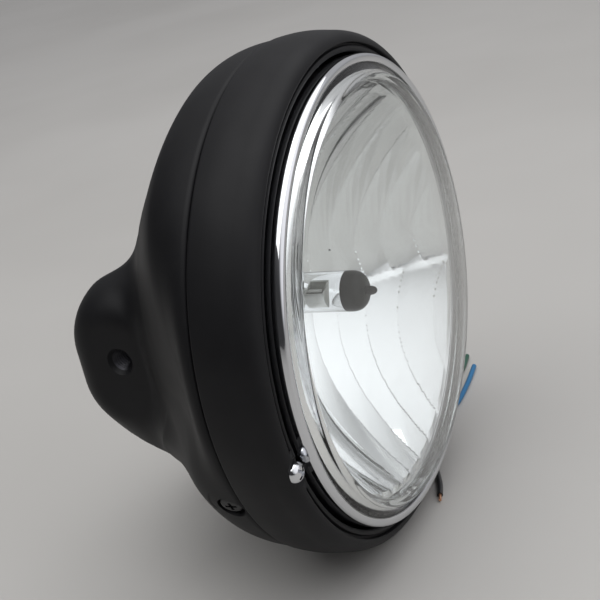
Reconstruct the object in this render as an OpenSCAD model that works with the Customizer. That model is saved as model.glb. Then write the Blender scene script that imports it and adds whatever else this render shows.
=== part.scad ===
/* [Bezel] */
// Largest diameter of the lamp, over the bezel
lamp_d = 200; // [196:1:206]
// Width of the black front band, from the outer edge in to the chrome ring
rim_band = 10.5; // [10:0.1:12]
// Thickness of the bezel wall
bezel_wall = 1.6; // [1.2:0.1:2]
// Depth of the bezel from the plane of the chrome ring to the seam
bezel_depth = 28.2; // [27:0.1:30]
// Running gap between the bezel lip and the chrome ring
lip_gap = 1.0; // [0.9:0.1:1.4]

/* [Shell] */
// Wall of the shell behind the seam
shell_wall = 2.4; // [2:0.1:3]
// Distance from the plane of the chrome ring to the back of the bowl
shell_depth = 102; // [101:0.5:106]
// Gap at the seam, which the rubber ring fills
seam_gap = 1.0; // [0.8:0.1:1.4]
// Length of the spigot that goes into the bezel
spigot_len = 5; // [4:0.5:6]

/* [Side mounts] */
// Distance between the two outer mount faces
mount_w = 120; // [114:1:126]
// Distance from the plane of the chrome ring back to the mount axis
mount_back = 86.2; // [84:0.1:88]
// Largest radius of a mount pod, front to back
pod_r = 27; // [25:0.5:28]
// Half of the extra height of a pod, which makes it oval
pod_rise = 6.5; // [4:0.5:8]
// How far the middle of the pod lies below the mount axis
pod_drop = 4.2; // [2:0.1:5]
// How far the middle of the pod lies behind the mount axis
pod_back = 0.8; // [0:0.1:2]
// Radius of the waist between the two pods
waist_r = 13; // [12:0.5:18]
// Radius of the flat face of a pod
pod_face_r = 12; // [10:0.5:13]
// Thread of the side mounts, nominal diameter
mount_thread_d = 8; // [6:1:8]
// Core bore of the side thread
mount_core_d = 6.8; // [5:0.1:6.9]
// Outer diameter of the threaded insert
insert_d = 13; // [12:0.5:14]
// Length of the threaded insert
insert_len = 14.4; // [12:0.2:16]
// Depth of the open mouth in front of the insert
mouth_depth = 1.6; // [1:0.1:2.4]

/* [Light unit] */
// Wall of the chrome ring
ring_wall = 1.2; // [1:0.1:1.4]
// Width of the flat band in front, from the outside of the chrome ring to the raised face
face_margin = 7.9; // [7:0.1:9]
// Height of the lens face edge in front of the chrome ring plane
lens_step = 4.1; // [3:0.1:5]
// Height of the lens centre in front of the chrome ring plane
lens_crown = 12.5; // [10:0.5:15]
// Thickness of the lens glass
lens_t = 3; // [2.6:0.1:3.4]
// Distance from the outside of the chrome ring in to the rim of the mirror
mirror_margin = 10.5; // [10.3:0.1:11.5]
// Depth of the mirror from its front rim to its deepest point
mirror_depth = 57.8; // [56:0.2:59]
// Wall of the reflector
mirror_wall = 1.8; // [1.4:0.1:2.2]
// Number of flute columns across the mirror
flute_n = 18; // [12:2:20]
// Depth of one flute of the mirror
flute_depth = 0.9; // [0.4:0.1:1.2]
// Angle by which the lower flutes of the mirror lean over
flute_lean = 31; // [0:1:45]
// Width of one leaning flute
flute_low_w = 9.8; // [8:0.1:12]
// Height of the step between the two kinds of flutes above the lens axis
flute_split = 4; // [0:1:8]

/* [Bulb] */
// Bore of the reflector neck for the bulb
neck_d = 38; // [37:0.5:39]
// Diameter of the bulb flange
bulb_flange_d = 43; // [42:0.5:44]
// Diameter of the bulb glass
bulb_d = 16; // [15:0.5:16.5]
// Length of the bulb from its flange to the tip of the glass
bulb_len = 60; // [57:0.5:61]

/* [Aim adjustment] */
// Angle of the adjuster from the top of the lamp, towards its right side
adjust_angle = 105.8; // [104:0.2:108]
// Distance from the chrome ring out to the middle of the adjuster screw
adjust_gap = 4.5; // [4.3:0.1:4.6]
// Diameter of the adjuster and fixing screws
screw_d = 4; // [3.6:0.1:4.2]
// Diameter of the domed head of the adjuster screw
dome_d = 7.6; // [7:0.1:7.8]
// Height of the domed head of the adjuster screw
dome_h = 3.1; // [2.6:0.1:3.2]
// Distance of the vertical pivot axis behind the chrome ring plane
pivot_back = 14; // [13.5:0.1:14.5]
// Diameter of the pivot pins
pivot_d = 3.5; // [3:0.1:4]
// Radial running clearance of the pivot pins
pivot_clear = 0.05; // [0.03:0.01:0.08]

/* [Fixings and leads] */
// Angle of the bezel fixing screws from the top of the lamp, on both sides
fix_angle = 116; // [115:0.5:118]
// Distance of the fixing screws behind the chrome ring plane
fix_back = 35.4; // [34.8:0.1:37]
// Diameter of the recess for the head of a fixing screw
recess_d = 10.4; // [9.6:0.2:12]
// Height of the head of a fixing screw
head_h = 2.2; // [1.8:0.1:2.4]
// Diameter of a lead over its insulation
lead_d = 2.4; // [2:0.1:2.6]
// Height of the cable grommet below the mount axis
grommet_drop = 36; // [34:0.5:38]

/* [Hidden] */

$fn = 96;
tiny = 0.01;
lamp_r = lamp_d / 2;
ring_r = lamp_r - rim_band;
lip_r = ring_r + lip_gap;
lip_z = -6;
seam_z = -bezel_depth;
shell_z = seam_z - seam_gap;
curve_n = 10;

function bezier(a, b, c, d, n = curve_n) =
    [for (i = [0 : n - 1]) let (t = i / n)
        pow(1 - t, 3) * a + 3 * t * pow(1 - t, 2) * b + 3 * t * t * (1 - t) * c + pow(t, 3) * d];

// Moves each point of an open outline towards the inside of the lamp
function inset(p, t) =
    [for (i = [0 : len(p) - 1])
        let (a = p[max(i - 1, 0)], b = p[min(i + 1, len(p) - 1)], d = (b - a) / norm(b - a))
            [max(0, p[i][0] + t * d[1]), p[i][1] - t * d[0]]];

function backwards(p) = [for (i = [len(p) - 1 : -1 : 0]) p[i]];

// The bezel outline: a rolled lip, a narrow groove, then the crisp front edge, the rounded corner
// and the slightly swelling side
edge_r = lip_r + 3.8;
edge_z = lip_z + 2.1;
bezel_lip = concat(
    bezier([lip_r, lip_z + 0.6], [lip_r + 0.1, lip_z + 1.5], [lip_r + 1.7, lip_z + 2.1],
           [lip_r + 2.2, lip_z + 1.2], 5),
    [[lip_r + 2.4, lip_z], [lip_r + 3.2, lip_z], [edge_r - 0.4, edge_z - 0.3]]);
bezel_face = concat(
    bezier([edge_r, edge_z], [lamp_r - 3.2, edge_z - 0.2], [lamp_r - 1.3, -6.2],
           [lamp_r - 0.75, -12]),
    bezier([lamp_r - 0.75, -12], [lamp_r - 0.1, -17], [lamp_r + 0.55, -20], [lamp_r - 0.7, seam_z]),
    [[lamp_r - 0.7, seam_z]]);
bezel_outer = concat(bezel_lip, bezel_face);
bezel_inner = concat(
    [[lip_r, lip_z - bezel_wall], [edge_r, lip_z - bezel_wall]],
    [for (p = inset(bezel_face, bezel_wall)) if (p[0] > edge_r + 0.8) p]);
// The same outline with a rounded edge at the seam
seam_round = 0.7;
bezel_side = concat([for (p = bezel_outer) if (p[1] > seam_z + seam_round) p],
    [[lamp_r - 0.6, seam_z + seam_round], [lamp_r - 0.75, seam_z + seam_round * 0.35],
     [lamp_r - 0.7 - seam_round, seam_z]]);

// The shell outline: side, shoulder and the round back of the bowl
shell_front_r = lamp_r - 1.5;
shell_round = 1.8;
shoulder_r = lamp_r - 6.4;
shoulder_z = -48.5;
shoulder_end_r = lamp_r - 27;
shoulder_end_z = -66.5;
shell_outer = concat(
    [[shell_front_r - 1.2, shell_z], [shell_front_r - 0.4, shell_z - 0.5]],
    bezier([shell_front_r, shell_z - shell_round], [lamp_r - 1.8, -36],
           [shoulder_r + 3.8, shoulder_z + 5.5], [shoulder_r, shoulder_z]),
    bezier([shoulder_r, shoulder_z], [shoulder_r - 4.6, shoulder_z - 6],
           [shoulder_end_r + 7, shoulder_end_z + 6], [shoulder_end_r, shoulder_end_z]),
    bezier([shoulder_end_r, shoulder_end_z], [shoulder_end_r - 13, shoulder_end_z - 6.5],
           [38, -shell_depth], [0, -shell_depth]),
    [[0, -shell_depth]]);
shell_inner = inset(shell_outer, shell_wall);
spigot_r = lamp_r - 0.7 - bezel_wall - 0.5;
spigot_wall = 1.6;

// Half outline of the two pods and the waist between them: distance along the mount axis, radius
mount_x = mount_w / 2;
pod_half = concat(
    [[mount_x, 0]],
    bezier([mount_x, pod_face_r], [mount_x, pod_r - 8], [mount_x - 6, pod_r - 2],
           [mount_x - 18, pod_r]),
    bezier([mount_x - 18, pod_r], [mount_x - 28, pod_r + 0.4], [12, waist_r], [0, waist_r]));
pod_wall = 3;
insert_out_x = mount_x - mouth_depth;

// A place on the lens axis: x across, y up, z forwards from the chrome ring plane
module on_lens_axis() {
    translate([0, -mount_back, 0]) rotate([90, 0, 0]) children();
}

// A place on the circle about the lens axis, at an angle from the top towards the right side,
// with x along the circle, y outwards and z forwards
module at_clock(angle) {
    rotate([0, 0, angle]) children();
}

module revolve_profile(points) {
    rotate_extrude($fn = 144) polygon(points);
}

// One radial cylinder between two radii at a distance behind the ring plane
module radial_rod(r_in, r_out, d, z) {
    translate([0, r_in, z]) rotate([-90, 0, 0]) cylinder(h = r_out - r_in, d = d, $fn = 48);
}

module pods(shrink) {
    half = [for (p = pod_half) [max(0, p[0] - (p[0] >= mount_x - 0.01 ? shrink : shrink * 0.6)),
                                max(0, p[1] - shrink)]];
    outline = concat(half, [for (i = [len(half) - 1 : -1 : 0]) [-half[i][0], half[i][1]]]);
    clean = [for (p = outline) p];
    translate([0, pod_back, -pod_drop]) {
        for (s = [-1, 1])
            translate([0, 0, s * pod_rise])
                rotate([0, 90, 0]) rotate_extrude($fn = 96)
                    polygon([for (p = clean) [p[1], p[0]]]);
        translate([0, 0, -pod_rise]) linear_extrude(height = 2 * pod_rise)
            polygon(concat([for (p = clean) [p[0], p[1]]],
                           [for (i = [len(clean) - 1 : -1 : 0]) [clean[i][0], -clean[i][1]]]));
    }
}

// Fixing screw places
recess_floor_r = lamp_r - 4.8;
boss_in_r = lamp_r - 8.6;
fix_head_d = recess_d - 1.4;

module at_fixings() {
    for (side = [-1, 1]) rotate([0, 0, side * fix_angle]) translate([0, 0, -fix_back]) children();
}

// Grommet pad
pad_z = -(shell_depth - 6);
pad_wall = 3;
pad_d = 22;
grommet_neck_d = 12;
grommet_flange_d = 18;
grommet_in_d = 16;

module shell() {
    color([0.16, 0.16, 0.165])
    difference() {
        union() {
            on_lens_axis() {
                revolve_profile(concat([[0, shell_z]], shell_outer));
                translate([0, 0, shell_z - tiny])
                    cylinder(h = spigot_len + tiny, r = spigot_r, $fn = 144);
                translate([0, -grommet_drop, pad_z]) cylinder(h = 12, d = pad_d);
            }
            pods(0);
        }
        difference() {
            union() {
                on_lens_axis() {
                    revolve_profile(concat([[0, shell_z]], [[spigot_r - spigot_wall, shell_z]],
                                           [for (p = shell_inner) if (p[1] < shell_z - 2) p]));
                    translate([0, 0, shell_z - 2 * tiny])
                        cylinder(h = spigot_len + 1, r = spigot_r - spigot_wall, $fn = 144);
                }
                intersection() {
                    pods(pod_wall);
                    translate([-mount_x, -1.5 * pod_r, -2 * pod_r]) cube([mount_w, 4 * pod_r, 4 * pod_r]);
                }
            }
            insert_bosses();
            on_lens_axis() {
                at_fixings() radial_rod(boss_in_r, lamp_r, 18, 0);
                translate([0, -grommet_drop, pad_z]) cylinder(h = pad_wall, d = pad_d);
            }
        }
        for (s = [-1, 1])
            translate([s * insert_out_x, 0, 0]) rotate([0, s * 90, 0]) {
                translate([0, 0, -insert_len]) cylinder(h = insert_len, d = insert_d, $fn = 48);
                translate([0, 0, -tiny]) cylinder(h = mouth_depth + 2 * tiny, d1 = mount_thread_d + 0.6,
                    d2 = mount_thread_d + 2.8, $fn = 48);
            }
        on_lens_axis() {
            at_fixings() {
                radial_rod(recess_floor_r, lamp_r + 5, recess_d, 0);
                radial_rod(boss_in_r - 1, lamp_r, screw_d + 0.4, 0);
            }
            translate([0, -grommet_drop, pad_z - 1]) cylinder(h = 12, d = grommet_neck_d);
            translate([0, -grommet_drop, pad_z - 10]) cylinder(h = 10, d = grommet_flange_d + 0.6);
            translate([0, -grommet_drop, pad_z + pad_wall]) cylinder(h = 12, d = grommet_in_d + 0.6);
        }
    }
}

module insert_bosses() {
    for (s = [-1, 1])
        translate([s * insert_out_x, 0, 0]) rotate([0, s * 90, 0])
            translate([0, 0, -insert_len - 3])
                cylinder(h = insert_len + 3 + mouth_depth, d = insert_d + 7, $fn = 48);
}

// Adjuster place
seat_z = -5.2;
dimple_d = dome_d + 1.6;
dimple_h = 3.2;
dimple_flare = 8;
dimple_back_z = lip_z - bezel_wall - 0.6;
adjust_r = ring_r + adjust_gap;

module at_adjuster() {
    rotate([0, 0, adjust_angle]) translate([0, adjust_r, 0]) children();
}

// Lug that reaches from the bezel into the shell, behind a fixing screw
lug_out_r = boss_in_r - 0.02;
lug_in_r = lug_out_r - 2.4;

module bezel_lug() {
    rotate([90, 0, 90]) translate([0, 0, -8]) linear_extrude(height = 16)
        polygon([[lamp_r - 1.4, -17], [lamp_r - 1.4, -20.5], [lamp_r - 6.1, -22.5],
                 [lug_out_r, -25], [lug_out_r, -fix_back - 6.5], [lug_in_r, -fix_back - 6.5],
                 [lug_in_r, -24], [lamp_r - 7.5, -19], [lamp_r - 4, -17]]);
}

module top_hook() {
    rotate([90, 0, 90]) translate([0, 0, -9]) linear_extrude(height = 18)
        polygon([[lamp_r - 1.4, -20], [lamp_r - 1.4, -23], [lamp_r - 5.2, -24.4],
                 [lamp_r - 5.2, -35], [lamp_r - 6.9, -35], [lamp_r - 6.9, -23],
                 [lamp_r - 3.6, -20]]);
}

module bezel() {
    color([0.17, 0.17, 0.175])
    on_lens_axis() difference() {
        union() {
            revolve_profile(concat(bezel_side, backwards(bezel_inner)));
            intersection() {
                union() {
                    at_adjuster() translate([0, 0, dimple_back_z])
                        cylinder(h = seat_z + dimple_h - dimple_back_z,
                                 d1 = dimple_d + 2 * bezel_wall,
                                 d2 = dimple_d + 2 * bezel_wall + dimple_flare, $fn = 48);
                    for (side = [-1, 1]) rotate([0, 0, side * fix_angle]) bezel_lug();
                    top_hook();
                }
                revolve_profile(concat([[lip_r, -60], [lip_r - 4, -60], [lip_r - 4, lip_z - 18],
                                        [lip_r, lip_z - 12], [lip_r, lip_z + 1.2]], bezel_face,
                                       [[lamp_r - 3.9, seam_z], [lamp_r - 3.9, -60]]));
            }
        }
        at_adjuster() {
            translate([0, 0, seat_z])
                cylinder(h = dimple_h, d1 = dimple_d, d2 = dimple_d + dimple_flare, $fn = 48);
            translate([0, 0, seat_z + dimple_h - tiny])
                cylinder(h = 10, d = dimple_d + dimple_flare, $fn = 48);
            translate([0, 0, seat_z - 10]) cylinder(h = 20, d = screw_d + 0.6, $fn = 48);
        }
        at_fixings() radial_rod(lug_in_r - 1, lug_out_r + 1, screw_d + 0.4, 0);
    }
}

module seam_seal() {
    color([0.05, 0.05, 0.05])
    on_lens_axis() revolve_profile([
        [spigot_r + 0.05, seam_z + 1.2], [spigot_r + 0.4, seam_z + 1.2], [spigot_r + 0.4, seam_z],
        [shell_front_r - 1.0, seam_z], [shell_front_r - 0.8, seam_z - seam_gap / 2],
        [shell_front_r - 1.0, shell_z], [spigot_r + 0.05, shell_z]]);
}

// Cross slot of a pan head screw, cut from its top
module cross_slot(size, depth) {
    for (turn = [0, 90]) rotate([0, 0, turn])
        translate([-size / 2, -0.55, -depth]) cube([size, 1.1, depth + 1]);
}

// Low pan head with a rounded rim, standing on z = 0, with its shank below
module pan_screw(shank, d) {
    difference() {
        union() {
            rotate_extrude($fn = 48)
                polygon(concat([[0, 0], [d / 2, 0]],
                    bezier([d / 2, 0.6], [d / 2, head_h * 0.75], [d / 2 - 1, head_h],
                           [d / 2 - 2.4, head_h]),
                    [[0, head_h]]));
            translate([0, 0, -shank]) cylinder(h = shank + tiny, d = screw_d, $fn = 48);
        }
        translate([0, 0, head_h]) cross_slot(d * 0.5, 1.4);
    }
}

module bezel_screws() {
    color([0.12, 0.12, 0.12])
    on_lens_axis() at_fixings() translate([0, recess_floor_r, 0]) rotate([-90, 0, 0])
        pan_screw(recess_floor_r - lug_in_r + 5, fix_head_d);
}

module bezel_nuts() {
    color([0.7, 0.7, 0.68])
    on_lens_axis() at_fixings() difference() {
        translate([-3.5, lug_in_r - 3.2, -3.5]) cube([7, 3.2, 7]);
        radial_rod(lug_in_r - 6, lug_in_r + 1, screw_d, 0);
    }
}

// Threaded insert: round body, core bore and a chamfer at its mouth
module mount_insert(side) {
    chamfer = 1;
    translate([side * insert_out_x, 0, 0]) rotate([0, side * 90, 0]) difference() {
        translate([0, 0, -insert_len]) cylinder(h = insert_len, d = insert_d, $fn = 48);
        translate([0, 0, -insert_len - 1]) cylinder(h = insert_len + 2, d = mount_core_d, $fn = 48);
        translate([0, 0, -chamfer])
            cylinder(h = chamfer + tiny, d1 = mount_core_d, d2 = mount_thread_d + 0.6, $fn = 48);
    }
}

module mount_insert_left() {
    color([0.35, 0.35, 0.35]) mount_insert(1);
}

module mount_insert_right() {
    color([0.35, 0.35, 0.35]) mount_insert(-1);
}

// Pivot bracket: a lug inside the bezel, above and below, that holds a pivot pin
bracket_in_r = ring_r + 2.7;
bracket_w = 14;
bracket_h = 9;

module pivot_brackets() {
    color([0.3, 0.3, 0.3])
    on_lens_axis() for (turn = [0, 180]) rotate([0, 0, turn])
        difference() {
            intersection() {
                translate([-bracket_w / 2, bracket_in_r, -pivot_back - bracket_h / 2])
                    cube([bracket_w, 20, bracket_h]);
                revolve_profile(concat([[0, seam_z]], [[0, lip_z]], bezel_inner));
            }
            radial_rod(bracket_in_r - 1, lamp_r + 2, pivot_d, -pivot_back);
        }
}

pin_in_r = ring_r - 1.5;
pin_out_r = lamp_r - bezel_wall - 1.2;

module pivot_pins() {
    color([0.75, 0.75, 0.73])
    on_lens_axis() for (turn = [0, 180]) rotate([0, 0, turn])
        radial_rod(pin_in_r, pin_out_r, pivot_d, -pivot_back);
}

// The adjuster screw hangs in the bezel and runs through its nut
adjuster_len = 15.8;

module adjuster_screw() {
    color([0.8, 0.8, 0.8])
    on_lens_axis() at_adjuster() translate([0, 0, seat_z]) difference() {
        union() {
            rotate_extrude($fn = 48)
                polygon(concat([[0, 0], [dome_d / 2, 0]],
                    bezier([dome_d / 2, 0.5], [dome_d / 2 - 0.2, dome_h * 0.7],
                           [dome_d / 2 - 1.6, dome_h], [0, dome_h])));
            translate([0, 0, -adjuster_len]) cylinder(h = adjuster_len + tiny, d = screw_d, $fn = 48);
        }
        translate([0, 0, dome_h]) rotate([0, 0, 30]) cross_slot(dome_d * 0.66, 1.9);
    }
}

// A push-on washer behind the bezel keeps the screw in place
washer_t = 0.7;

module adjuster_washer() {
    color([0.6, 0.6, 0.6])
    on_lens_axis() at_adjuster()
        translate([0, 0, dimple_back_z - 0.05 - washer_t]) difference() {
            cylinder(h = washer_t, d = screw_d + 1.6, $fn = 48);
            translate([0, 0, -1]) cylinder(h = washer_t + 2, d = screw_d, $fn = 48);
        }
}

nut_front_z = -13.5;
nut_h = 4;

module adjuster_nut() {
    color([0.85, 0.85, 0.8])
    on_lens_axis() at_adjuster() difference() {
        translate([-3.6, -3.2, nut_front_z - nut_h]) cube([7.2, 6, nut_h]);
        translate([0, 0, nut_front_z - nut_h - 1]) cylinder(h = nut_h + 2, d = screw_d + 0.8, $fn = 48);
    }
}

ring_skirt_z = -9;
ring_lip_r = ring_r - 3.5;
flange_top_z = 0.25;

module chrome_ring() {
    color([0.85, 0.86, 0.88])
    on_lens_axis() difference() {
        revolve_profile(concat(
            [[ring_r - ring_wall, ring_skirt_z], [ring_r, ring_skirt_z]],
            bezier([ring_r, -1.2], [ring_r, 0.6], [ring_r - 0.7, 1.3], [ring_r - 1.8, 1.3], 6),
            bezier([ring_r - 1.8, 1.3], [ring_r - 2.8, 1.3], [ring_lip_r, 0.9],
                   [ring_lip_r, flange_top_z + 0.05], 6),
            [[ring_lip_r, flange_top_z + 0.05], [ring_r - 1.9, flange_top_z + 0.05],
             [ring_r - ring_wall, -0.6]]));
        at_ring_screws() radial_rod(ring_r - 4, ring_r + 1, ring_screw_d, 0);
    }
}

ring_screw_d = 2.5;
ring_screw_z = -7.8;

module at_ring_screws() {
    for (turn = [45, 165, 285]) rotate([0, 0, turn]) translate([0, 0, ring_screw_z]) children();
}

module ring_screws() {
    color([0.7, 0.7, 0.7])
    on_lens_axis() at_ring_screws() difference() {
        radial_rod(ring_r - 7, ring_r - 0.1, ring_screw_d, 0);
        translate([-2, ring_r - 0.9, -0.3]) cube([4, 2, 0.6]);
    }
}

mirror_r = ring_r - mirror_margin;
seat_front_z = -6;
seat_back_z = -18;
seat_r = ring_r - ring_wall - 0.2;

module seat_ring() {
    color([0.25, 0.25, 0.26])
    on_lens_axis() difference() {
        union() {
            revolve_profile([[mirror_r + 1.5, seat_front_z], [seat_r, seat_front_z],
                             [seat_r, seat_back_z], [seat_r - 1.8, seat_back_z],
                             [seat_r - 1.8, -9.6], [mirror_r + 1.5, -9.6]]);
            for (turn = [0, 180]) rotate([0, 0, turn])
                radial_rod(seat_r - 1, bracket_in_r - 0.4, 8, -pivot_back);
            rotate([0, 0, adjust_angle])
                translate([-6, seat_r - 1, nut_front_z - nut_h - 0.01 - 1])
                    cube([12, adjust_r - seat_r + 2.6, nut_h + 2]);
        }
        for (turn = [0, 180]) rotate([0, 0, turn])
            radial_rod(seat_r - 6, lamp_r, pivot_d + 2 * pivot_clear, -pivot_back);
        at_ring_screws() radial_rod(ring_r - 7, ring_r + 1, ring_screw_d, 0);
        at_adjuster() translate([-3.6, -3.2, nut_front_z - nut_h]) cube([7.2, 12, nut_h + 4]);
        at_adjuster() translate([0, 0, nut_front_z - nut_h - 4])
            cylinder(h = 8, d = screw_d + 1.4, $fn = 48);
    }
}

// Clear lens: flange, stepped shoulder and a lightly crowned face
lens_face_r = ring_r - face_margin;
lens_flange_r = ring_r - 2.1;
lens_back_z = -2.4;
crown_rise = lens_crown - lens_step;
crown_r = (pow(lens_face_r, 2) + pow(crown_rise, 2)) / (2 * crown_rise);
lens_inner_r = lens_face_r - lens_t;

function crown(r, top) = [r, top - (crown_r - sqrt(crown_r * crown_r - r * r))];

module lens() {
    steps = 12;
    face = [for (i = [0 : steps]) crown(lens_face_r * i / steps, lens_crown)];
    back = [for (i = [0 : steps]) crown(lens_inner_r * i / steps, lens_crown - lens_t)];
    color([0.85, 0.9, 0.92, 0.35])
    on_lens_axis() revolve_profile(concat(
        face, [[lens_face_r + 1.1, lens_step - 0.8], [ring_lip_r - 0.8, flange_top_z + 0.3],
               [ring_lip_r - 0.2, flange_top_z], [lens_flange_r, flange_top_z],
               [lens_flange_r, lens_back_z], [lens_inner_r, lens_back_z]],
        backwards(back)));
}

reflector_front_z = -4.4;

module lens_seal() {
    color([0.7, 0.7, 0.7])
    on_lens_axis() revolve_profile([
        [mirror_r + 4, reflector_front_z], [lens_flange_r - 0.2, reflector_front_z],
        [lens_flange_r - 0.2, lens_back_z], [mirror_r + 4, lens_back_z]]);
}

// Mirror surface: a paraboloid whose flutes stand a little proud of it
vertex_z = reflector_front_z - mirror_depth;
focal = mirror_r * mirror_r / (4 * mirror_depth);
neck_r = neck_d / 2;
collar_r = neck_r + 4.5;
flange_z = vertex_z - 3.7;

function bowl_z(r) = vertex_z + r * r / (4 * focal);

// The hollow of a smooth mirror, lifted forwards by a height
module mirror_band(lift) {
    steps = 18;
    revolve_profile(concat([for (i = [0 : steps]) let (r = mirror_r * i / steps)
                                [r, bowl_z(r) + lift]],
                           [[mirror_r, 4], [0, 4]]));
}

// Every second strip across the mirror
module strips(w, shift) {
    count = 2 * ceil(mirror_r / w / 2 + 1);
    for (i = [-count : 2 : count])
        translate([i * w + shift, -lamp_r, -lamp_r]) cube([w, lamp_d, lamp_d]);
}

// The hollow of the stepped mirror: upright strips above the bulb, leaning ones below it
module mirror_hollow() {
    mirror_band(flute_depth);
    intersection() {
        mirror_band(0);
        union() {
            intersection() {
                strips(2 * mirror_r / flute_n, 0);
                translate([-lamp_r, flute_split, -lamp_r]) cube(lamp_d);
            }
            intersection() {
                rotate([0, 0, -flute_lean]) strips(flute_low_w, flute_low_w / 2);
                translate([-lamp_r, flute_split - lamp_d, -lamp_r]) cube(lamp_d);
            }
        }
    }
}

module reflector() {
    back_steps = 16;
    back = [for (i = [0 : back_steps])
        let (r = collar_r + (mirror_r + 1.3 - collar_r) * i / back_steps)
            [r, bowl_z(r) - mirror_wall]];
    color([0.88, 0.89, 0.9])
    on_lens_axis() difference() {
        union() {
            revolve_profile(concat([[0, vertex_z - 1], [collar_r, vertex_z - 1]], back,
                [[mirror_r + 1.3, seat_front_z], [lens_flange_r - 0.2, seat_front_z],
                 [lens_flange_r - 0.2, reflector_front_z], [0, reflector_front_z]]));
            translate([0, 0, flange_z]) cylinder(h = vertex_z - flange_z + 4, r = collar_r);
        }
        mirror_hollow();
        translate([0, 0, flange_z - 1]) cylinder(h = 20, d = neck_d);
    }
}

bulb_r = bulb_d / 2;
tip_z = flange_z + bulb_len;
nib_len = 4;
sleeve_len = 12;

// Glass envelope: tube, rounded dome and the sealed nib at the tip
module bulb_glass() {
    dome_z = tip_z - nib_len;
    color([0.8, 0.85, 0.88, 0.4])
    on_lens_axis() difference() {
        revolve_profile(concat(
            [[0, flange_z + 5], [bulb_r, flange_z + 5]],
            bezier([bulb_r, dome_z - 6], [bulb_r, dome_z - 2], [bulb_r - 2.6, dome_z], [2, dome_z], 8),
            bezier([2, dome_z], [1.7, dome_z + 1], [2, tip_z], [0, tip_z], 6), [[0, tip_z]]));
        revolve_profile([[0, flange_z + 7], [bulb_r - 1, flange_z + 7], [bulb_r - 1, dome_z - 6],
                         [bulb_r - 1.8, dome_z - 3], [bulb_r - 3.6, dome_z - 1.2],
                         [0, dome_z - 1.2]]);
    }
}

// Two filaments on their supports, with the dipping shield under the front one
module bulb_filaments() {
    main_z = flange_z + 26;
    dip_z = flange_z + 33;
    coil = 5.6;
    color([0.6, 0.6, 0.62])
    on_lens_axis() {
        for (z = [main_z, dip_z]) translate([0, 0, z]) cylinder(h = coil, d = 1.5, $fn = 24);
        translate([0, 0, main_z + coil - tiny])
            cylinder(h = dip_z - main_z - coil + 2 * tiny, d = 0.8, $fn = 16);
        difference() {
            translate([0, 0, dip_z - 1.2]) cylinder(h = coil + 2.6, d = 8, $fn = 32);
            translate([0, 0, dip_z - 0.6]) cylinder(h = coil + 1.4, d = 7, $fn = 32);
            translate([-5, 0.9, dip_z - 3]) cube([10, 10, 14]);
        }
        translate([0, -2.7, flange_z + 7]) cylinder(h = dip_z - flange_z - 7.6, d = 1, $fn = 16);
        translate([0, 0, flange_z + 7]) cylinder(h = main_z - flange_z - 7 + tiny, d = 0.8, $fn = 16);
        translate([0, -2.7, main_z + coil + 0.4]) rotate([-90, 0, 0])
            cylinder(h = 2.7, d = 0.7, $fn = 16);
    }
}

module bulb_base() {
    sleeve_r = bulb_r + 2.2;
    color([0.7, 0.7, 0.68])
    on_lens_axis() difference() {
        union() {
            revolve_profile([
                [0, flange_z - 12], [11.8, flange_z - 12], [11.8, flange_z - 1],
                [neck_r - 1.4, flange_z - 1], [neck_r - 1.4, flange_z - 0.1],
                [sleeve_r, flange_z - 0.1], [sleeve_r, flange_z + sleeve_len],
                [bulb_r, flange_z + sleeve_len], [bulb_r, flange_z + 5], [0, flange_z + 5]]);
            for (turn = [90, 210, 330]) rotate([0, 0, turn])
                translate([neck_r - 3, -3.5, flange_z - 0.9])
                    cube([bulb_flange_d / 2 - neck_r + 3, 7, 0.7]);
        }
        blades(0, 3);
    }
}

// Three flat blades, one across the top and one on each side
module blades(gap, len_in) {
    blade_w = 7.8 + 2 * gap;
    blade_t = 0.8 + 2 * gap;
    top_z = flange_z - 12 + len_in;
    translate([-blade_w / 2, 7 - blade_t / 2, top_z - 11 - gap]) cube([blade_w, blade_t, 11 + gap]);
    for (s = [-1, 1])
        translate([s * 8.4 - blade_t / 2, -blade_w / 2 - 1.6, top_z - 11 - gap])
            cube([blade_t, blade_w, 11 + gap]);
}

module bulb_terminals() {
    color([0.75, 0.72, 0.6]) on_lens_axis() blades(0, 3);
}

// Spring wire that presses the bulb flange on the neck
clip_wire = 1.6;

module bulb_clip() {
    z = flange_z - 1 - clip_wire / 2;
    half_w = 13.5;
    corner = 3;
    reach = 17;
    color([0.78, 0.78, 0.78])
    on_lens_axis() translate([0, 0, z]) {
        for (s = [-1, 1]) {
            translate([s * half_w, reach - corner, 0]) rotate([90, 0, 0])
                cylinder(h = 2 * reach - corner, d = clip_wire, $fn = 24);
            translate([s * (half_w - corner), reach - corner, 0])
                rotate([0, 0, s > 0 ? 0 : 90]) rotate_extrude(angle = 90, $fn = 32)
                    translate([corner, 0]) circle(d = clip_wire, $fn = 24);
        }
        translate([-half_w + corner, reach, 0]) rotate([0, 90, 0])
            cylinder(h = 2 * (half_w - corner), d = clip_wire, $fn = 24);
    }
}

module rubber_boot() {
    back = flange_z - 12;
    color([0.08, 0.08, 0.08])
    on_lens_axis() revolve_profile([
        [collar_r, flange_z + 2.5], [collar_r + 3, flange_z + 3], [collar_r + 4.5, flange_z + 1],
        [collar_r + 4.5, flange_z - 2.5], [collar_r + 1, flange_z - 6.5], [18.5, flange_z - 9.5],
        [15, back], [11.9, back], [11.9, back + 3], [14, back + 3.4], [19, flange_z - 6.2],
        [collar_r + 1.4, flange_z - 2.6], [collar_r + 1.4, flange_z - 0.2],
        [collar_r, flange_z - 0.2]]);
}

connector_len = 13;
connector_front_z = flange_z - 12.6;
connector_back_z = connector_front_z - connector_len;

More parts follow.
